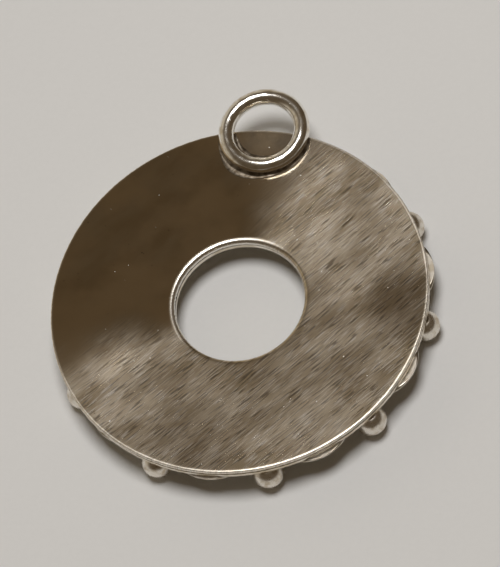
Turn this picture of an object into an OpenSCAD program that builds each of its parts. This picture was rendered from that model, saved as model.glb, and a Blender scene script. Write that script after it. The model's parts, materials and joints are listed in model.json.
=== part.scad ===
// Round open-centred pendant: two dished ring-shaped sheets soldered together, leaf petals and
// balls by turns round the front face, and a soldered ring of round wire as the bail.
// It lies face down: +Z points out of the plain back and +Y points to the bail.
// The origin is on the axis of the centre opening, halfway through the two sheets there.

/* [Sheets] */
// Outside diameter of both sheets
plate_d = 38; // [30:0.5:60]
// Diameter of the centre opening
opening_d = 13; // [8:0.5:18]
// How far the rim stands above the edge of the opening
dish_rise = 0.5; // [0.1:0.1:3]
// Thickness of the back sheet
back_t = 0.5; // [0.4:0.05:1.2]
// Thickness of the front sheet
front_t = 0.5; // [0.4:0.05:1.2]
// Width of the filed edges round both rims
edge_break = 0.15; // [0.05:0.01:0.18]

/* [Solder between the sheets] */
// Thickness of the solder layer
solder_t = 0.1; // [0.05:0.01:0.3]
// How far the solder stops short of the sheets' edges
solder_inset = 0.25; // [0.2:0.05:0.6]

/* [Petals and balls] */
// Number of petals, and of balls between them
petal_count = 10; // [6:1:12]
// How far the pattern of petals and balls is turned from the bail
pattern_turn = -2.5; // [-9:0.5:9]
// How far the pattern sits off the axis of the opening, toward +X
pattern_shift = 0.3; // [0:0.05:0.5]
// Thickness of a petal
petal_t = 0.5; // [0.3:0.05:1]
// How far a petal's outer end stands out past the rim
petal_reach = 0.25; // [0.1:0.05:1.2]
// How much of the leaf's point is cut off to leave that end blunt
petal_blunt = 1.3; // [0.4:0.1:2]
// Bare sheet between the opening and a petal's inner tip
petal_setback = 1.4; // [0.5:0.1:3]
// Gap between two petals where they are closest
petal_gap = 0.8; // [0.4:0.1:2]
// Diameter of a ball
ball_d = 3.15; // [2:0.05:4]
// How far the circle of ball centres lies inside the rim
ball_inset = 0.85; // [0.4:0.05:1.5]
// Depth of the flat that seats a ball on the sheet
ball_seat = 0.1; // [0.05:0.01:0.2]

/* [Bail] */
// Diameter of the bail's round wire
bail_wire_d = 1.6; // [1:0.1:2.4]
// Free diameter inside the bail
bail_inner_d = 6.1; // [4:0.1:9]
// How far the bail's centre lies inside the rim
bail_inset = 0.45; // [0:0.05:1.5]
// Depth of the flat that seats the bail on the sheet
bail_seat = 0.12; // [0.05:0.01:0.2]
// Width of the solder fillet beside the bail
fillet_w = 0.4; // [0.2:0.05:0.8]
// Height of the solder fillet above the sheet
fillet_h = 0.5; // [0.3:0.05:0.7]

/* [Hidden] */
$fn = 96;
plate_r = plate_d / 2;
opening_r = opening_d / 2;
// Slope of the dish, as a rise over a run and as an angle, and the length of a unit of run on it
slope = dish_rise / (plate_r - opening_r);
slope_angle = atan(slope);
slope_length = sqrt(1 + slope * slope);

// Heights at the edge of the opening, from the back face to the petals' face
stack_t = back_t + solder_t + front_t;
back_face_z = stack_t / 2;
solder_top_z = back_face_z - back_t;
solder_low_z = solder_top_z - solder_t;
front_face_z = -stack_t / 2;
petal_face_z = front_face_z - petal_t;

// Petals: the leaf runs between two points, and its width leaves petal_gap to the next leaf
step_angle = 360 / petal_count;
petal_end_r = plate_r + petal_reach;
petal_point_r = petal_end_r + petal_blunt;
petal_root_r = opening_r + petal_setback;
petal_half_l = (petal_point_r - petal_root_r) / 2;
petal_mid_r = (petal_point_r + petal_root_r) / 2;
half_pitch = petal_mid_r * sin(step_angle / 2) - petal_gap / 2;
petal_half_w = (half_pitch + sqrt(pow(half_pitch, 2) - pow(sin(step_angle / 2) * petal_half_l, 2)))
    / (1 + cos(step_angle / 2));
// Radius of the two arcs that bound the leaf, and how far their centres are across its axis
leaf_arc_r = (pow(petal_half_l, 2) + pow(petal_half_w, 2)) / (2 * petal_half_w);
leaf_arc_offset = leaf_arc_r - petal_half_w;
leaf_prism_h = petal_t + rise(petal_point_r) + 2;

// Balls: on the front face, halfway between the petals
ball_r = ball_d / 2;
ball_circle_r = plate_r - ball_inset;
ball_drop = (ball_r - ball_seat) * slope_length;

// Bail: a wire ring that lies along the slope of the back face
bail_wire_r = bail_wire_d / 2;
bail_ring_r = bail_inner_d / 2 + bail_wire_r;
bail_circle_r = plate_r - bail_inset;
bail_lift = bail_wire_r - bail_seat;
bail_z = back_face_z + rise(bail_circle_r) + bail_lift * slope_length;
// Half widths of the fillet's section: at its top, and as far below the sheet's face as that is above
fillet_shoulder = bail_wire_r - bail_seat;
fillet_foot = 2 * (bail_wire_r + fillet_w) - fillet_shoulder;
// Bearing round the bail at which the fillet's outer edge reaches the filed rim
fillet_r = bail_ring_r + bail_wire_r + fillet_w;
rim_flat_r = plate_r - edge_break;
fillet_end = asin((pow(fillet_r, 2) + pow(bail_circle_r, 2) - pow(rim_flat_r, 2))
    / (2 * fillet_r * bail_circle_r));

// Name of one of a row of like pieces, such as petal_03
function numbered(name, i) = str(name, i < 10 ? "_0" : "_", i);

// Height of the dish at radius r, above the edge of the opening
function rise(r) = slope * (r - opening_r);

// The first petal stands near the bail, the others a step apart, and the balls halfway between
function petal_bearing(i) = 90 + pattern_turn + step_angle * (i - 1);
function ball_bearing(i) = petal_bearing(i) + step_angle / 2;
function face_under_ball(i) = front_face_z + rise(off_axis(ball_circle_r, ball_bearing(i)));

// Distance from the axis of the opening to a place on the pattern
function off_axis(r, bearing) = norm([pattern_shift + r * cos(bearing), r * sin(bearing)]);

// A dished ring between two radii and two heights, both measured at the edge of the opening
module dished_ring(r_in, r_out, low_z, high_z)
    rotate_extrude()
        polygon([
            [r_in, low_z + rise(r_in)],
            [r_out, low_z + rise(r_out)],
            [r_out, high_z + rise(r_out)],
            [r_in, high_z + rise(r_in)]
        ]);

// A dished sheet whose rim has both edges filed off, and whose opening is a plain bore
module dished_sheet(low_z, high_z)
    rotate_extrude()
        polygon([
            [opening_r, low_z],
            [plate_r - edge_break, low_z + rise(plate_r - edge_break)],
            [plate_r, low_z + rise(plate_r) + edge_break],
            [plate_r, high_z + rise(plate_r) - edge_break],
            [plate_r - edge_break, high_z + rise(plate_r - edge_break)],
            [opening_r, high_z]
        ]);

module back_plate()
    color("silver")
        dished_sheet(solder_top_z, back_face_z);

module front_plate()
    color("silver")
        dished_sheet(front_face_z, solder_low_z);

module plate_solder()
    color("dimgray")
        dished_ring(opening_r + solder_inset, plate_r - solder_inset, solder_low_z, solder_top_z);

// Places its children in the pattern's own frame, turned to a bearing
module in_pattern(bearing)
    translate([pattern_shift, 0, 0])
        rotate(bearing)
            children();

// The leaf's outline as an upright prism on the +X axis, pointed at its root and cut round at its end
module leaf_prism()
    translate([0, 0, petal_face_z - 1])
        intersection() {
            intersection_for (side = [-1, 1])
                translate([petal_mid_r, side * leaf_arc_offset, 0])
                    cylinder(r = leaf_arc_r, h = leaf_prism_h);
            cylinder(r = petal_end_r, h = leaf_prism_h);
        }

module petal(i)
    color("lightgray")
        intersection() {
            dished_ring(opening_r, petal_point_r + 1, petal_face_z, front_face_z);
            in_pattern(petal_bearing(i))
                leaf_prism();
        }

module ball(i)
    color("whitesmoke")
        difference() {
            in_pattern(ball_bearing(i))
                translate([ball_circle_r, 0, face_under_ball(i) - ball_drop])
                    sphere(d = ball_d);
            dished_ring(opening_r, plate_r + ball_r, front_face_z, back_face_z);
        }

// Places its children in the bail's own frame, with the wire's centre line in the XY plane
module at_bail()
    translate([0, bail_circle_r, bail_z])
        rotate([slope_angle, 0, 0])
            children();

module wire_ring()
    rotate_extrude()
        translate([bail_ring_r, 0])
            circle(r = bail_wire_r);

module bail_ring()
    color("gainsboro")
        difference() {
            at_bail()
                wire_ring();
            dished_sheet(front_face_z, back_face_z);
        }

// A bank of solder on both sides of the wire, ending where the wire leaves the sheet
module bail_solder()
    color("gray")
        difference() {
            at_bail()
                rotate(fillet_end - 180)
                    rotate_extrude(angle = 180 - 2 * fillet_end)
                        difference() {
                            translate([bail_ring_r, -bail_lift])
                                polygon([
                                    [-fillet_foot, -fillet_h],
                                    [fillet_foot, -fillet_h],
                                    [fillet_shoulder, fillet_h],
                                    [-fillet_shoulder, fillet_h]
                                ]);
                            translate([bail_ring_r, 0])
                                circle(r = bail_wire_r);
                        }
            dished_ring(opening_r, plate_r + 1, front_face_z, back_face_z);
        }

back_plate();
plate_solder();
front_plate();
for (i = [1 : petal_count]) petal(i);
for (i = [1 : petal_count]) ball(i);
bail_ring();
bail_solder();
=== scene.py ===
import json
import math

import bmesh
import bpy
import numpy as np
from mathutils import Matrix, Vector


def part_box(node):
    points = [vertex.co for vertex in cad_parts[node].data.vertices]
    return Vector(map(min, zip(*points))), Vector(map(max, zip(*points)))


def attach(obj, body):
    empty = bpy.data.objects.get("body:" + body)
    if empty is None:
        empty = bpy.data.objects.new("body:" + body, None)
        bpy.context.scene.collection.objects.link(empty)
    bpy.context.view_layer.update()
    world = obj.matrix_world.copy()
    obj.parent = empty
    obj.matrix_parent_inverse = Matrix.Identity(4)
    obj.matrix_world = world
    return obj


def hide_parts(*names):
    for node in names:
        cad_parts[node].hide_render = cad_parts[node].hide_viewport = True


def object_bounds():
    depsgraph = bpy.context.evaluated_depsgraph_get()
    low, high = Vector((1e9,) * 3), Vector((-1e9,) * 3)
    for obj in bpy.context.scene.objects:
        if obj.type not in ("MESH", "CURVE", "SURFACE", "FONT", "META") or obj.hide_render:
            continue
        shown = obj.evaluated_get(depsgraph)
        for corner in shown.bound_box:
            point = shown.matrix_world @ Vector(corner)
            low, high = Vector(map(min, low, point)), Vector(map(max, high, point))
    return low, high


MM = 0.001

# --- The CAD part, and the sizes read from it ---------------------------------------------

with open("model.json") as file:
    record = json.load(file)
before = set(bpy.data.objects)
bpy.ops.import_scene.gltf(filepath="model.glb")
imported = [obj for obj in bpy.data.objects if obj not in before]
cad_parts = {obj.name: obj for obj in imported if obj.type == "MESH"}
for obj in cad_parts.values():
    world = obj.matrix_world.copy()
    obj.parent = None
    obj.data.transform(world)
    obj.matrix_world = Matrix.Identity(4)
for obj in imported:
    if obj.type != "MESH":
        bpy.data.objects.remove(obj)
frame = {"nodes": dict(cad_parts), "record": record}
nodes, record = frame["nodes"], frame["record"]
box_at_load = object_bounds()


def points(node):
    """The vertices of a CAD node, as an array."""
    return np.array([v.co for v in nodes[node].data.vertices])


# The plate. Heights of its dished faces are given where they meet the opening.
back_low, back_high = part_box("back_plate")
opening = next(m for m in record["mounts"] if m["name"] == "centre_opening")
PLATE_R = back_high.x
OPENING_R = opening["dims"]["r_mm"] * MM
FRONT_FACE_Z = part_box("front_plate")[0].z
BACK_FACE_Z = -FRONT_FACE_Z
highest = max(points("back_plate"), key=lambda p: p[2])
SLOPE = (highest[2] - BACK_FACE_Z) / (math.hypot(highest[0], highest[1]) - OPENING_R)

# The solder between the sheets
solder_low, solder_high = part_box("plate_solder")
solder_points = points("plate_solder")
solder_in_r = np.hypot(solder_points[:, 0], solder_points[:, 1]).min()
SOLDER_R = solder_high.x
SOLDER_TOP_Z = back_low.z
SOLDER_LOW_Z = solder_low.z - SLOPE * (solder_in_r - OPENING_R)

FLOOR_Z = box_at_load[0].z

PETALS = sorted(n for n in nodes if n.startswith("petal_"))
BALLS = sorted(n for n in nodes if n.startswith("ball_"))
PATTERN_CENTRE = np.mean([[(a + b) / 2 for a, b in zip(*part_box(n))][:2] for n in BALLS], axis=0)

# The bail lies along the slope of the back face
tilt = math.atan(SLOPE)
BAIL_X = np.array((1, 0, 0))
BAIL_Y = np.array((0, math.cos(tilt), math.sin(tilt)))
BAIL_N = np.array((0, -math.sin(tilt), math.cos(tilt)))
bail_points = points("bail_ring")
bail_outer = bail_points[:, 0].max()
bail_y = (bail_points @ BAIL_Y).max() - bail_outer
bail_inner = np.hypot(bail_points[:, 0], bail_points @ BAIL_Y - bail_y).min()
WIRE_R = (bail_outer - bail_inner) / 2
BAIL_R = (bail_outer + bail_inner) / 2
BAIL_CENTRE = BAIL_Y * bail_y + BAIL_N * ((bail_points @ BAIL_N).max() - WIRE_R)

# --- Shapes -------------------------------------------------------------------------------

rng = np.random.default_rng(11)


def ripple(count, length):
    """A smooth random height field over the plan, about -1 to 1, with bumps about that long."""
    bearing = rng.uniform(0, math.tau, count)
    phase = rng.uniform(0, math.tau, count)
    waves = math.tau / (length * rng.uniform(0.7, 1.5, count))
    return lambda x, y: sum(
        np.sin(w * (x * math.cos(a) + y * math.sin(a)) + p)
        for a, w, p in zip(bearing, waves, phase)
    ) / math.sqrt(count)


def wobble(count, most):
    """A smooth random value round a circle, about -1 to 1, with up to that many bumps."""
    turns = rng.integers(1, most, count)
    phase = rng.uniform(0, math.tau, count)
    return lambda angle: sum(np.sin(n * angle + p) for n, p in zip(turns, phase)) / math.sqrt(count)


broad_wave, small_wave = ripple(9, 13 * MM), ripple(12, 3.5 * MM)


def hand_wave(x, y):
    """How far hand-worked sheet stands off the true cone."""
    return 0.014 * MM * broad_wave(x, y) + 0.0015 * MM * small_wave(x, y)


def rise(r):
    """How far a dished face has climbed at that radius."""
    return SLOPE * (r - OPENING_R)


def face(x, y, height):
    """The height of a dished face at a place in plan, from its height at the opening."""
    return height + rise(np.hypot(x, y)) + hand_wave(x, y)


def bump_at(angle, centre, width):
    """1 at that bearing in degrees, falling to 0 about the width away."""
    off = (np.degrees(angle) - centre + 180) % 360 - 180
    return np.exp(-((off / width) ** 2))


def mesh_object(name, verts, faces, smooth=True):
    mesh = bpy.data.meshes.new(name)
    mesh.from_pydata([tuple(v) for v in verts], [], faces)
    mesh.update()
    obj = bpy.data.objects.new(name, mesh)
    bpy.context.scene.collection.objects.link(obj)
    mesh.polygons.foreach_set("use_smooth", [smooth] * len(mesh.polygons))
    return obj


def swept(name, rings, closed):
    """A skin over rings of points, each ring a closed outline. Open rows get flat ends."""
    count, size = rings.shape[:2]
    verts = rings.reshape(-1, 3)
    faces = []
    for i in range(count if closed else count - 1):
        a, b = i * size, (i + 1) % count * size
        faces += [(a + j, b + j, b + (j + 1) % size, a + (j + 1) % size) for j in range(size)]
    if not closed:
        faces += [tuple(range(size))[::-1], tuple(range((count - 1) * size, count * size))]
    obj = mesh_object(name, verts, faces)
    recalculate(obj)
    return obj


def capped(name, rings):
    """A skin turned round an axis: the ends of the outline are closed with fans."""
    count, size = rings.shape[:2]
    ends = [rings[:, 0].mean(0)[None], rings[:, -1].mean(0)[None]]
    verts = np.concatenate([rings.reshape(-1, 3)] + ends)
    first, last = count * size, count * size + 1
    faces = []
    for i in range(count):
        a, b = i * size, (i + 1) % count * size
        faces += [(a + j, b + j, b + j + 1, a + j + 1) for j in range(size - 1)]
        faces += [(first, b, a), (last, a + size - 1, b + size - 1)]
    obj = mesh_object(name, verts, faces)
    recalculate(obj)
    return obj


def recalculate(obj):
    """Turns every face outward."""
    bm = bmesh.new()
    bm.from_mesh(obj.data)
    bmesh.ops.recalc_face_normals(bm, faces=bm.faces)
    bm.to_mesh(obj.data)
    bm.free()


def arc(centre, radius, start, end, steps):
    """Points of an arc in a section, its ends in degrees."""
    t = np.radians(np.linspace(start, end, steps))
    return np.c_[centre[0] + radius * np.cos(t), centre[1] + radius * np.sin(t)]


def sheet_outline(low, high, in_low, in_high, out_low, out_high):
    """Section of a sheet as radius and height. The last four are the roundings of its corners."""
    top_r = np.linspace(OPENING_R + in_high, PLATE_R - out_high, 46)[1:-1]
    low_r = np.linspace(PLATE_R - out_low, OPENING_R + in_low, 30)[1:-1]
    return np.concatenate([
        arc((OPENING_R + in_high, high - in_high), in_high, 180, 90, 9),
        np.c_[top_r, np.full(len(top_r), high)],
        arc((PLATE_R - out_high, high - out_high), out_high, 90, 0, 7),
        arc((PLATE_R - out_low, low + out_low), out_low, 0, -90, 6),
        np.c_[low_r, np.full(len(low_r), low)],
        arc((OPENING_R + in_low, low + in_low), in_low, 270, 180, 6),
    ])


def dished(name, outline, lip_burr, rim_wear, sides=720):
    """A sheet turned round from its outline, waved by hand, with worn edges."""
    lip_noise, rim_noise = wobble(40, 160), wobble(40, 220)
    angle = np.linspace(0, math.tau, sides, endpoint=False)[:, None]
    r, h = outline[None, :, 0], outline[None, :, 1]
    near_lip = np.exp(-((r - OPENING_R) / (0.35 * MM)) ** 2)
    near_rim = np.exp(-((PLATE_R - r) / (0.3 * MM)) ** 2)
    r = r + near_lip * lip_burr(angle) * (1 + 0.6 * lip_noise(angle))
    r = r - near_rim * rim_wear * (0.5 + 0.5 * rim_noise(angle))
    x, y = r * np.cos(angle), r * np.sin(angle)
    return swept(name, np.stack([x, y, h + rise(r) + hand_wave(x, y)], axis=2), True)


def stand_in(obj, node):
    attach(obj, "root")
    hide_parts(node)
    return obj


def make_sheets():
    rim = {"out_low": 0.12 * MM, "out_high": 0.12 * MM}
    back_outline = sheet_outline(
        SOLDER_TOP_Z, BACK_FACE_Z, in_low=0.02 * MM, in_high=0.42 * MM, **rim
    )
    front_outline = sheet_outline(
        FRONT_FACE_Z, SOLDER_LOW_Z, in_low=0.06 * MM, in_high=0.02 * MM, **rim
    )
    back = dished(
        "back_sheet",
        back_outline,
        lip_burr=lambda angle: 0.03 * MM * (0.4 + bump_at(angle, 165, 40)),
        rim_wear=0.02 * MM,
    )
    front = dished(
        "front_sheet",
        front_outline,
        lip_burr=lambda angle: np.full_like(angle, 0.015 * MM),
        rim_wear=0.03 * MM,
    )
    stand_in(back, "back_plate")
    stand_in(front, "front_plate")
    return back, front


def make_seam():
    """The solder between the sheets: ragged, flush with the rim in a stretch, with a few blobs."""
    sides = 900
    angle = np.linspace(0, math.tau, sides, endpoint=False)
    rag, fine = wobble(14, 26), wobble(30, 120)
    flush = np.clip(bump_at(angle, -38, 17) + bump_at(angle, 12, 6) * 0.8, 0, 1)
    blob = (
        bump_at(angle, -106, 1.6) + 0.8 * bump_at(angle, 40, 1.1) + 0.7 * bump_at(angle, 161, 1.3)
    )
    out = SOLDER_R + 0.05 * MM * rag(angle) + 0.015 * MM * fine(angle)
    out = out + flush * (PLATE_R - 0.03 * MM - out) + blob * (PLATE_R - 0.02 * MM - out)
    inner = OPENING_R + 0.03 * MM + 0.012 * MM * rag(angle) + 0.006 * MM * fine(angle)
    mid = (SOLDER_TOP_Z + SOLDER_LOW_Z) / 2
    half = (SOLDER_TOP_Z - SOLDER_LOW_Z) / 2
    swell = half + np.clip(flush * 0.06 + blob * 0.16, 0, 0.16) * MM
    rows = [
        (inner - 0.03 * MM, 0 * half), (inner, half), (out - 0.2 * MM, half),
        (out - 0.05 * MM, swell), (out, 0.5 * swell), (out + 0.004 * MM, 0 * half),
        (out, -0.5 * swell), (out - 0.05 * MM, -swell), (out - 0.2 * MM, -half), (inner, -half),
    ]
    rings = []
    for r, h in rows:
        r = np.broadcast_to(r, angle.shape)
        x, y = r * np.cos(angle), r * np.sin(angle)
        rings.append(np.stack([x, y, face(x, y, mid) + h], axis=1))
    return stand_in(swept("seam_solder", np.stack(rings, axis=1), True), "plate_solder")


def upper_edge(plan):
    """The corners along the upper side of the outline round some points, left to right."""
    edge = []
    for p in sorted(map(tuple, plan)):
        while len(edge) > 1 and (edge[-1][0] - edge[-2][0]) * (p[1] - edge[-1][1]) >= (
            edge[-1][1] - edge[-2][1]
        ) * (p[0] - edge[-1][0]):
            edge.pop()
        edge.append(p)
    return np.array(edge)


def make_petal(node):
    """A leaf cut from sheet, with softened edges, a low swell and a shallow vein down the front."""
    p = points(node)
    out = p[:, :2].mean(axis=0) - PATTERN_CENTRE
    along = out / np.hypot(*out)
    across = np.array((-along[1], along[0]))
    plan = (p[:, :2] - PATTERN_CENTRE) @ np.stack([along, across], axis=1)
    edge = upper_edge(plan)
    root, end = edge[0, 0], edge[-1, 0]
    thick = (FRONT_FACE_Z + rise(np.hypot(p[:, 0], p[:, 1])) - p[:, 2]).max()
    soft, corner, vein = 0.16 * MM, 0.8 * MM, 0.22 * MM
    side_top = -0.32 * thick
    rings = []
    for s in (root + end) / 2 + (end - root) / 2 * np.sin(np.linspace(-1, 1, 71) * math.pi / 2):
        turned_in = 1 - min((end - s) / corner, 1)
        w = np.interp(s, edge[:, 0], edge[:, 1]) * math.sqrt(1 - turned_in**2)
        w = max(w, 0.03 * MM)
        turn = min(soft, 0.7 * w)
        tops = np.linspace(-1, 1, 9) * (w - 0.3 * turn)
        lows = np.linspace(1, -1, 15) * (w - turn)
        swell = 1 - 0.35 * np.abs(lows / w) ** 3 - 0.14 * np.exp(-((lows / vein) ** 2))
        taper = 1 - 0.3 * ((s - (root + end) / 2) / (end - root) * 2) ** 6
        side = arc((w - turn, 0), turn, 60, -60, 5)
        rows = [(v, 0.0) for v in tops]
        rows += [(v, side_top + h) for v, h in side]
        rows += [(v, -thick * taper * k) for v, k in zip(lows, swell)]
        rows += [(-v, side_top + h) for v, h in side[::-1]]
        v, h = np.array(rows).T
        x, y = (PATTERN_CENTRE + s * along)[:, None] + across[:, None] * v
        rings.append(np.stack([x, y, face(x, y, FRONT_FACE_Z) + h], axis=1))
    return stand_in(swept(node + "_leaf", np.array(rings), False), node)


def make_ball(node):
    """A melted ball, not quite round, with a small neck of solder where it sits on the sheet."""
    low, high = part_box(node)
    r = (high.x - low.x) / 2
    centre = np.array(((low.x + high.x) / 2, (low.y + high.y) / 2, low.z + r))
    out = np.array((centre[0], centre[1], 0)) / math.hypot(centre[0], centre[1])
    normal = Vector(out * -math.sin(tilt) + np.array((0, 0, math.cos(tilt))))
    seat = (FRONT_FACE_Z + rise(math.hypot(centre[0], centre[1])) - centre[2]) * math.cos(tilt)
    neck = 0.12 * r
    ball_part = arc((0, 0), r, -90, 58, 30)
    start = ball_part[-1]
    foot = np.array((math.sqrt(r**2 - seat**2) + neck, seat))
    control = np.array((start[0] * 0.72, seat - neck * 0.4))
    t = np.linspace(0, 1, 7)[1:, None]
    neck_part = (1 - t) ** 2 * start + 2 * t * (1 - t) * control + t**2 * foot
    outline = np.concatenate([ball_part, neck_part])
    outline[0, 0] = 0.01 * MM
    turn = normal.to_track_quat("Z", "Y").to_matrix()
    bumps = wobble(6, 5)
    rings = []
    for a in np.linspace(0, math.tau, 56, endpoint=False):
        k = 1 - 0.004 + 0.004 * bumps(np.array(a))
        reach = outline[:, 0] * k
        upright = np.c_[reach * math.cos(a), reach * math.sin(a), outline[:, 1]]
        rings.append(centre + upright @ np.array(turn).T)
    return stand_in(capped(node + "_melted", np.array(rings)), node)


def bail_place(reach, bearing, lift):
    """A point by its reach and bearing in the plane of the bail, lifted off that plane."""
    outward = np.cos(bearing)[..., None] * BAIL_X + np.sin(bearing)[..., None] * BAIL_Y
    return BAIL_CENTRE + reach[..., None] * outward + lift[..., None] * BAIL_N


def make_bail():
    """The wire ring, bent by hand: the wire's thickness and roundness wander a little."""
    thin, flat = wobble(8, 9), wobble(12, 24)
    a = np.linspace(0, math.tau, 240, endpoint=False)[:, None]
    b = np.linspace(0, math.tau, 48, endpoint=False)[None, :]
    radius = WIRE_R * (1 - 0.012 + 0.008 * thin(a) + 0.006 * flat(a + 0.3 * np.cos(b)))
    verts = bail_place(BAIL_R + radius * np.cos(b), a + 0 * b, radius * np.sin(b))
    x, y, z = verts[..., 0], verts[..., 1], verts[..., 2]
    over_sheet = np.hypot(x, y) < PLATE_R - 0.1 * MM
    verts[..., 2] = np.where(over_sheet, np.maximum(z, face(x, y, BACK_FACE_Z)), z)
    return stand_in(swept("bail_wire", verts, True), "bail_ring")


def make_bail_solder():
    """A hollow bank of solder on both sides of the wire, wider where more of it ran."""
    p = points("bail_solder")
    bearings = np.degrees(np.arctan2(p @ BAIL_Y - bail_y, p[:, 0]))
    start, end = bearings.min(), bearings.max()
    if end - start > 180:
        bearings = (bearings + 360) % 360
        start, end = bearings.min(), bearings.max()
    outer_run, inner_run, climb = wobble(9, 14), wobble(9, 16), wobble(9, 12)
    lift = (BAIL_CENTRE[2] - BACK_FACE_Z - rise(BAIL_CENTRE[1])) * math.cos(tilt)
    rings = []
    for deg in np.linspace(start - 3, end + 3, 150):
        a = math.radians(deg)
        ends = min(1, max(0.05, min(deg - start + 4, end - deg + 4) / 14))
        sides = []
        for run, extra in ((outer_run, bump_at(a, -122, 30)), (inner_run, bump_at(a, -95, 70))):
            width = (0.16 + 0.05 * run(a) + 0.45 * extra) * MM * ends
            top = (0.30 + 0.07 * climb(a)) * MM * ends
            reach = math.sqrt(WIRE_R**2 - (lift - top) ** 2)
            t = np.linspace(0, 1, 8)[:, None]
            film = 0.03 * MM * ends
            bank = np.array((WIRE_R + min(width, 0.22 * MM), film))
            touch = np.array((reach - 0.02 * MM, top))
            control = np.array((WIRE_R + 0.02 * MM, film))
            curve = (1 - t) ** 2 * bank + 2 * t * (1 - t) * control + t**2 * touch
            edge = [(WIRE_R + width + 0.03 * MM, -0.01 * MM), (WIRE_R + width, 0.8 * film)]
            sides.append(np.concatenate([edge, curve]))
        outer, inner = sides
        section = np.concatenate([
            [(WIRE_R + 0.2 * MM, -0.06 * MM)], outer,
            inner[::-1] * (-1, 1), [(-WIRE_R - 0.2 * MM, -0.06 * MM)],
        ])
        level = np.zeros(len(section))
        flat = bail_place(BAIL_R + section[:, 0], level + a, level)
        r = np.hypot(flat[:, 0], flat[:, 1])
        scale = np.minimum(1, (PLATE_R - 0.12 * MM) / r)
        x, y = flat[:, 0] * scale, flat[:, 1] * scale
        rings.append(np.stack([x, y, face(x, y, BACK_FACE_Z) + section[:, 1]], axis=1))
    return stand_in(swept("bail_fillet", np.array(rings), False), "bail_solder")


def toward(bearing, elevation):
    """Unit vector toward a bearing from +X and an elevation above the floor, in degrees."""
    a, e = math.radians(bearing), math.radians(elevation)
    return Vector((math.cos(a) * math.cos(e), math.sin(a) * math.cos(e), math.sin(e)))


# --- Finishes -----------------------------------------------------------------------------


class Shader:
    """A material's node tree, built a node at a time."""

    def __init__(self, name):
        self.material = bpy.data.materials.new(name)
        self.material.use_nodes = True
        self.tree = self.material.node_tree
        self.tree.nodes.clear()
        self.place = self.node("ShaderNodeTexCoord").outputs["Object"]

    def node(self, kind, inputs=(), **settings):
        made = self.tree.nodes.new(kind)
        for key, value in settings.items():
            setattr(made, key, value)
        for key, value in dict(inputs).items():
            self.put(made.inputs[key], value)
        return made

    def put(self, socket, value):
        if isinstance(value, bpy.types.NodeSocket):
            self.tree.links.new(value, socket)
        else:
            socket.default_value = value

    def math(self, operation, a, b):
        made = self.node("ShaderNodeMath", {0: a, 1: b}, operation=operation)
        return made.outputs[0]

    def noise(self, length, detail=2.0, width=None, turn=0.0, offset=0.0, rough=0.5):
        """Noise with cells of that length, and of another width when they are drawn out."""
        width = width or length
        place = self.node(
            "ShaderNodeMapping",
            {"Vector": self.place, "Rotation": (0, 0, turn), "Scale": (length, width, length),
             "Location": (offset, offset, offset)},
            vector_type="TEXTURE",
        )
        return self.node(
            "ShaderNodeTexNoise",
            {"Vector": place.outputs[0], "Scale": 1.0, "Detail": detail, "Roughness": rough},
        ).outputs["Fac"]

    def band(self, value, low, high):
        """0 below the low value, 1 above the high one, and smooth between."""
        return self.node(
            "ShaderNodeMapRange",
            {"Value": value, "From Min": low, "From Max": high, "To Min": 0.0, "To Max": 1.0},
            interpolation_type="SMOOTHSTEP",
        ).outputs[0]

    def blend(self, factor, a, b):
        return self.node(
            "ShaderNodeMix", {"Factor": factor, 6: a, 7: b}, data_type="RGBA"
        ).outputs[2]

    def lerp(self, factor, a, b):
        return self.node(
            "ShaderNodeMapRange", {"Value": factor, "To Min": a, "To Max": b}
        ).outputs[0]

    def bump(self, height, depth, normal=None):
        inputs = {"Height": height, "Distance": depth, "Strength": 1.0}
        if normal is not None:
            inputs["Normal"] = normal
        return self.node("ShaderNodeBump", inputs).outputs[0]

    def finish(self, color, roughness, normal, metallic=1.0):
        shader = self.node(
            "ShaderNodeBsdfPrincipled",
            {"Base Color": color, "Roughness": roughness, "Normal": normal, "Metallic": metallic},
        )
        out = self.node("ShaderNodeOutputMaterial")
        self.tree.links.new(shader.outputs[0], out.inputs[0])
        return self.material


SCRATCH_TURN = math.radians(49)


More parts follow.
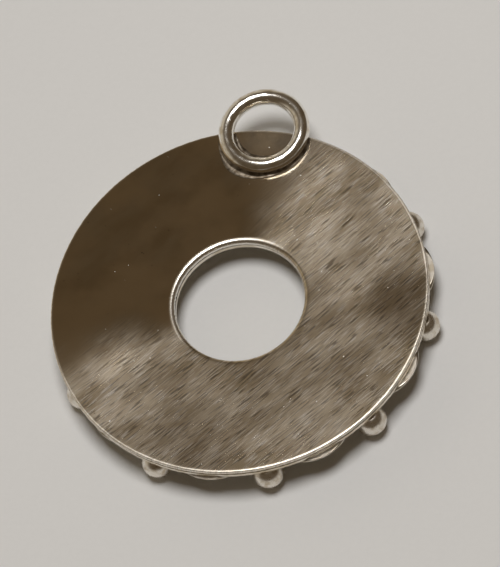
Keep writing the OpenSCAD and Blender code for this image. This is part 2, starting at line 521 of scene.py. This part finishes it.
def brushed_silver():
    """The plain back: filed all one way, then polished over a third of it and near the bail."""
    s = Shader("brushed_silver")

    def near(bearing, reach, size):
        """1 at a place on the plate, falling to 0 at that distance from it."""
        spot = tuple(toward(bearing, 0) * reach + Vector((0, 0, BACK_FACE_Z)))
        away = s.node("ShaderNodeVectorMath", {0: s.place, 1: spot}, operation="DISTANCE")
        return s.math("SUBTRACT", 1.0, s.band(away.outputs["Value"], 0.2 * size, size))

    grain = s.noise(1.7 * MM, 2, 0.09 * MM, SCRATCH_TURN)
    # Streak noise that places the painted glints on the filing scratches.
    marks = s.noise(1.7 * MM, 0, 0.11 * MM, SCRATCH_TURN, 0.004)
    deep = s.noise(2.0 * MM, 0, 0.12 * MM, SCRATCH_TURN - 0.04, 0.013)
    patina = s.noise(0.45 * MM, 3, offset=0.05)
    dust = s.noise(0.22 * MM, 1, offset=0.041)
    cloud = s.noise(7.0 * MM, 3, 2.6 * MM, SCRATCH_TURN)
    patch = s.noise(3.4 * MM, 3, 1.5 * MM, SCRATCH_TURN, 0.02)
    drift = s.noise(5.0 * MM, 3, offset=0.007)
    speck = s.noise(0.3 * MM, 1, offset=0.03)

    facing = s.node("ShaderNodeVectorMath", {0: s.place}, operation="NORMALIZE").outputs[0]
    side = s.node(
        "ShaderNodeVectorMath", {0: facing, 1: tuple(toward(143.5, 0))}, operation="DOT_PRODUCT"
    ).outputs["Value"]
    buffed = s.band(s.math("ADD", side, s.lerp(drift, -0.15, 0.15)), 0.22, 0.74)
    flowed = near(90, 18.5 * MM, 6.5 * MM)
    calm = s.math("MULTIPLY", near(-100, 18.5 * MM, 8 * MM), 0.5)
    calm = s.math("ADD", near(1, 17 * MM, 5.5 * MM), calm)
    bright = near(-155, 15 * MM, 6 * MM)
    inside_bail = near(90, 18.4 * MM, 2.9 * MM)
    stain = near(91, 18.5 * MM, 1.9 * MM)
    level = s.node("ShaderNodeVectorMath", {0: s.place, 1: (1.0, 1.0, 0.0)}, operation="MULTIPLY")
    radius = s.node(
        "ShaderNodeVectorMath", {0: level.outputs[0]}, operation="LENGTH"
    ).outputs["Value"]
    # The edge of the opening, kept only on the side toward the far left: it carries a painted
    # highlight.
    lip_painted_highlight = s.math("SUBTRACT", 1.0, s.band(radius, OPENING_R + 0.30 * MM, OPENING_R + 0.70 * MM))
    lip_painted_highlight = s.math("MULTIPLY", lip_painted_highlight, s.band(side, -0.1, 0.7))
    rim = s.band(radius, PLATE_R - 0.30 * MM, PLATE_R - 0.12 * MM)
    edge = s.math("ADD", lip_painted_highlight, s.math("MULTIPLY", rim, 0.5))
    unflowed = s.math("SUBTRACT", 1.0, s.math("MULTIPLY", flowed, 0.75))
    rough_part = s.math("MULTIPLY", s.math("SUBTRACT", 1.0, buffed), unflowed)

    # Painted highlight: a mask of filing streaks painted light, standing in for lamp glints on the
    # scratches.
    painted_glint_lines = s.math("MULTIPLY", s.band(marks, 0.58, 0.66), rough_part)
    dark_lines = s.math("MULTIPLY", s.band(deep, 0.58, 0.64), rough_part)
    worn = s.band(cloud, 0.34, 0.66)

    # Color, from the metal up to what lies in and on it, with painted highlights on filing streaks and
    # at the edge of the opening
    color = s.blend(worn, (0.60, 0.50, 0.355, 1), (0.69, 0.60, 0.465, 1))
    brown = s.math("MULTIPLY", s.band(patch, 0.50, 0.70), 0.25)
    color = s.blend(brown, color, (0.55, 0.43, 0.29, 1))
    color = s.blend(s.math("MULTIPLY", flowed, 0.8), color, (0.66, 0.63, 0.58, 1))
    grey = s.blend(s.band(patina, 0.44, 0.56), (0.48, 0.48, 0.46, 1), (0.20, 0.195, 0.18, 1))
    color = s.blend(s.math("MULTIPLY", inside_bail, 0.85), color, grey)
    color = s.blend(s.math("MULTIPLY", stain, 0.8), color, (0.12, 0.11, 0.09, 1))
    # Painted highlight: near-white streaks for lamp glints on the filing scratches.
    color = s.blend(s.math("MULTIPLY", painted_glint_lines, 0.60), color, (0.98, 0.95, 0.90, 1))
    color = s.blend(s.math("MULTIPLY", dark_lines, 0.72), color, (0.19, 0.145, 0.095, 1))
    pitted = s.math("MULTIPLY", s.band(speck, 0.77, 0.80), 0.8)
    color = s.blend(pitted, color, (0.16, 0.11, 0.06, 1))
    warm = s.math("MULTIPLY", buffed, s.band(drift, 0.35, 0.65))
    color = s.blend(warm, color, (0.76, 0.63, 0.45, 1))
    dusty = s.band(dust, 0.81, 0.83)
    color = s.blend(dusty, color, (0.95, 0.92, 0.86, 1))
    # Painted highlight at the edge of the opening on the far-left side; the rim all round is lighter
    # rubbed silver.
    color = s.blend(edge, color, (0.86, 0.82, 0.75, 1))

    # Roughness: a wider glow of the lamp where it is rougher, the dark room where it is polished
    filed = s.math("ADD", s.lerp(worn, 0.205, 0.240), s.math("MULTIPLY", bright, 0.035))
    filed = s.math("SUBTRACT", filed, s.math("MULTIPLY", calm, 0.07))
    filed = s.math("ADD", filed, s.lerp(patch, -0.012, 0.012))
    polish = s.lerp(drift, 0.05, 0.10)
    over_polish = s.math("MULTIPLY", rough_part, s.math("SUBTRACT", filed, polish))
    roughness = s.math("ADD", polish, over_polish)
    roughness = s.math("ADD", roughness, s.math("MULTIPLY", flowed, 0.05))
    roughness = s.math("ADD", roughness, s.math("MULTIPLY", edge, 0.20))
    roughness = s.math("ADD", roughness, s.math("MULTIPLY", inside_bail, 0.03))
    roughness = s.math("ADD", roughness, s.math("MULTIPLY", dusty, 0.25))

    depth = s.math("MULTIPLY", grain, s.lerp(rough_part, 0.02, 1.0))
    depth = s.math("SUBTRACT", depth, s.math("MULTIPLY", dark_lines, 0.30))
    normal = s.bump(depth, 0.0022 * MM)
    return s.finish(color, roughness, normal)


def polished_silver():
    """The front sheet: brighter, with fine cross-hatched polishing marks and dirt in random patches.
    """
    s = Shader("polished_silver")
    hatch = s.noise(1.2 * MM, 2, 0.07 * MM, 0.4)
    hatch_over = s.noise(1.2 * MM, 2, 0.07 * MM, 1.9, 0.01)
    cloud = s.noise(1.7 * MM, 4)
    color = s.blend(s.band(cloud, 0.40, 0.66), (0.82, 0.76, 0.66, 1), (0.60, 0.52, 0.39, 1))
    roughness = s.lerp(cloud, 0.10, 0.26)
    normal = s.bump(s.math("ADD", hatch, hatch_over), 0.002 * MM)
    return s.finish(color, roughness, normal)


def petal_silver():
    """Leaves with filed grain and dirt left in patches."""
    s = Shader("petal_silver")
    grain = s.noise(0.9 * MM, 3, 0.06 * MM, 0.8)
    cloud = s.noise(1.1 * MM, 4)
    color = s.blend(s.band(cloud, 0.38, 0.62), (0.70, 0.65, 0.57, 1), (0.46, 0.40, 0.31, 1))
    roughness = s.lerp(cloud, 0.22, 0.42)
    return s.finish(color, roughness, s.bump(grain, 0.003 * MM))


def ball_silver():
    """Balls melted from scrap, with a fine dimpled skin."""
    s = Shader("ball_silver")
    cloud = s.noise(0.7 * MM, 4)
    fine = s.noise(0.12 * MM, 2)
    color = s.blend(s.band(cloud, 0.42, 0.68), (0.82, 0.77, 0.69, 1), (0.55, 0.47, 0.36, 1))
    roughness = s.lerp(cloud, 0.18, 0.40)
    return s.finish(color, roughness, s.bump(fine, 0.007 * MM))


def polished_wire():
    """Drawn wire, polished, with streaks that follow the drawing marks and small pits."""
    s = Shader("polished_wire")
    streak = s.noise(1.4 * MM, 3, 0.10 * MM, 0.9)
    cloud = s.noise(0.9 * MM, 4, offset=0.01)
    pits = s.band(s.noise(0.16 * MM, 1, offset=0.02), 0.70, 0.78)
    color = s.blend(s.band(cloud, 0.44, 0.66), (0.90, 0.87, 0.81, 1), (0.70, 0.63, 0.52, 1))
    roughness = s.lerp(cloud, 0.10, 0.27)
    depth = s.math("SUBTRACT", streak, s.math("MULTIPLY", pits, 0.7))
    return s.finish(color, roughness, s.bump(depth, 0.0035 * MM))


def solder():
    """Dull grey solder: pitted, rippled as it froze, and darker in the hollows."""
    s = Shader("solder")
    lump = s.noise(0.55 * MM, 4)
    pits = s.noise(0.11 * MM, 3, offset=0.01)
    color = s.blend(s.band(lump, 0.36, 0.60), (0.11, 0.085, 0.06, 1), (0.27, 0.23, 0.18, 1))
    roughness = s.lerp(pits, 0.34, 0.50)
    normal = s.bump(lump, 0.008 * MM, s.bump(pits, 0.002 * MM))
    return s.finish(color, roughness, normal)


def paper():
    """Matt off-white paper with a faint tooth."""
    s = Shader("paper")
    fibre = s.noise(0.5 * MM, 5)
    color = s.blend(fibre, (0.785, 0.785, 0.775, 1), (0.815, 0.815, 0.805, 1))
    return s.finish(color, 0.9, s.bump(fibre, 0.01 * MM), metallic=0.0)


# --- The assembly -------------------------------------------------------------------------

back, front = make_sheets()
seam = make_seam()
leaves = [make_petal(n) for n in PETALS]
balls = [make_ball(n) for n in BALLS]
bail = make_bail()
fillet = make_bail_solder()

for made, objects in (
    (brushed_silver(), [back, nodes["back_plate"]]),
    (polished_silver(), [front, nodes["front_plate"]]),
    (petal_silver(), leaves + [nodes[n] for n in PETALS]),
    (ball_silver(), balls + [nodes[n] for n in BALLS]),
    (polished_wire(), [bail, nodes["bail_ring"]]),
    (solder(), [seam, fillet, nodes["plate_solder"], nodes["bail_solder"]]),
):
    for obj in objects:
        obj.data.materials.clear()
        obj.data.materials.append(made)

# --- The paper, the light and the camera --------------------------------------------------

floor = mesh_object(
    "paper_floor",
    [(x, y, FLOOR_Z) for x, y in ((-0.6, -0.6), (0.6, -0.6), (0.6, 0.6), (-0.6, 0.6))],
    [(0, 1, 2, 3)],
    smooth=False,
)
floor.data.materials.append(paper())


def soft_light(name, direction, distance, size, power, color):
    data = bpy.data.lights.new(name, "AREA")
    data.shape, data.size, data.energy, data.color = "DISK", size, power, color
    obj = bpy.data.objects.new(name, data)
    obj.location = direction * distance
    obj.rotation_mode = "QUATERNION"
    obj.rotation_quaternion = (-direction).to_track_quat("-Z", "Y")
    bpy.context.scene.collection.objects.link(obj)


soft_light(
    "ceiling_lamp", toward(80, 83.5), distance=0.5, size=0.22, power=1.5, color=(1.0, 0.99, 0.98)
)


def studio():
    """A dim warm room that is lighter low down on the far left."""
    world = bpy.data.worlds.new("studio")
    world.use_nodes = True
    tree = world.node_tree
    tree.nodes.clear()
    place = tree.nodes.new("ShaderNodeTexCoord").outputs["Generated"]

    across_room = tree.nodes.new("ShaderNodeVectorMath")
    across_room.operation = "DOT_PRODUCT"
    across_room.inputs[1].default_value = toward(-29.3, 26)
    tree.links.new(place, across_room.inputs[0])

    fall_off = tree.nodes.new("ShaderNodeMapRange")
    fall_off.interpolation_type = "SMOOTHSTEP"
    fall_off.inputs["From Min"].default_value = -0.55
    fall_off.inputs["From Max"].default_value = -0.12
    tree.links.new(across_room.outputs["Value"], fall_off.inputs["Value"])

    color = tree.nodes.new("ShaderNodeMix")
    color.data_type = "RGBA"
    color.inputs[6].default_value = (0.46, 0.41, 0.33, 1)
    color.inputs[7].default_value = (0.085, 0.062, 0.038, 1)
    tree.links.new(fall_off.outputs[0], color.inputs["Factor"])

    shade = tree.nodes.new("ShaderNodeBackground")
    tree.links.new(color.outputs[2], shade.inputs["Color"])
    out = tree.nodes.new("ShaderNodeOutputWorld")
    tree.links.new(shade.outputs[0], out.inputs[0])
    return world


bpy.context.scene.world = studio()
bpy.context.scene.view_settings.view_transform = "Standard"


def set_camera():
    """The camera stands where the photo was taken from, and its frame is centred as there."""
    distance, aside, above_centre = 450 * MM, 0.97 * MM, 1.92 * MM
    back_way = toward(-62.05, 60.09)
    level = Vector((0, 0, 1)).cross(back_way).normalized()
    above = back_way.cross(level)
    roll = math.radians(-22.17)
    x_axis = math.cos(roll) * level + math.sin(roll) * above
    y_axis = math.cos(roll) * above - math.sin(roll) * level
    data = bpy.data.cameras.new("camera")
    data.lens, data.sensor_width = 289.0, 36.0
    camera = bpy.data.objects.new("camera", data)
    camera.rotation_mode = "QUATERNION"
    camera.rotation_quaternion = Matrix((x_axis, y_axis, back_way)).transposed().to_quaternion()
    camera.location = back_way * distance + x_axis * aside + y_axis * above_centre
    data.clip_start, data.clip_end = 0.01, 10.0
    bpy.context.scene.collection.objects.link(camera)
    bpy.context.scene.camera = camera


set_camera()
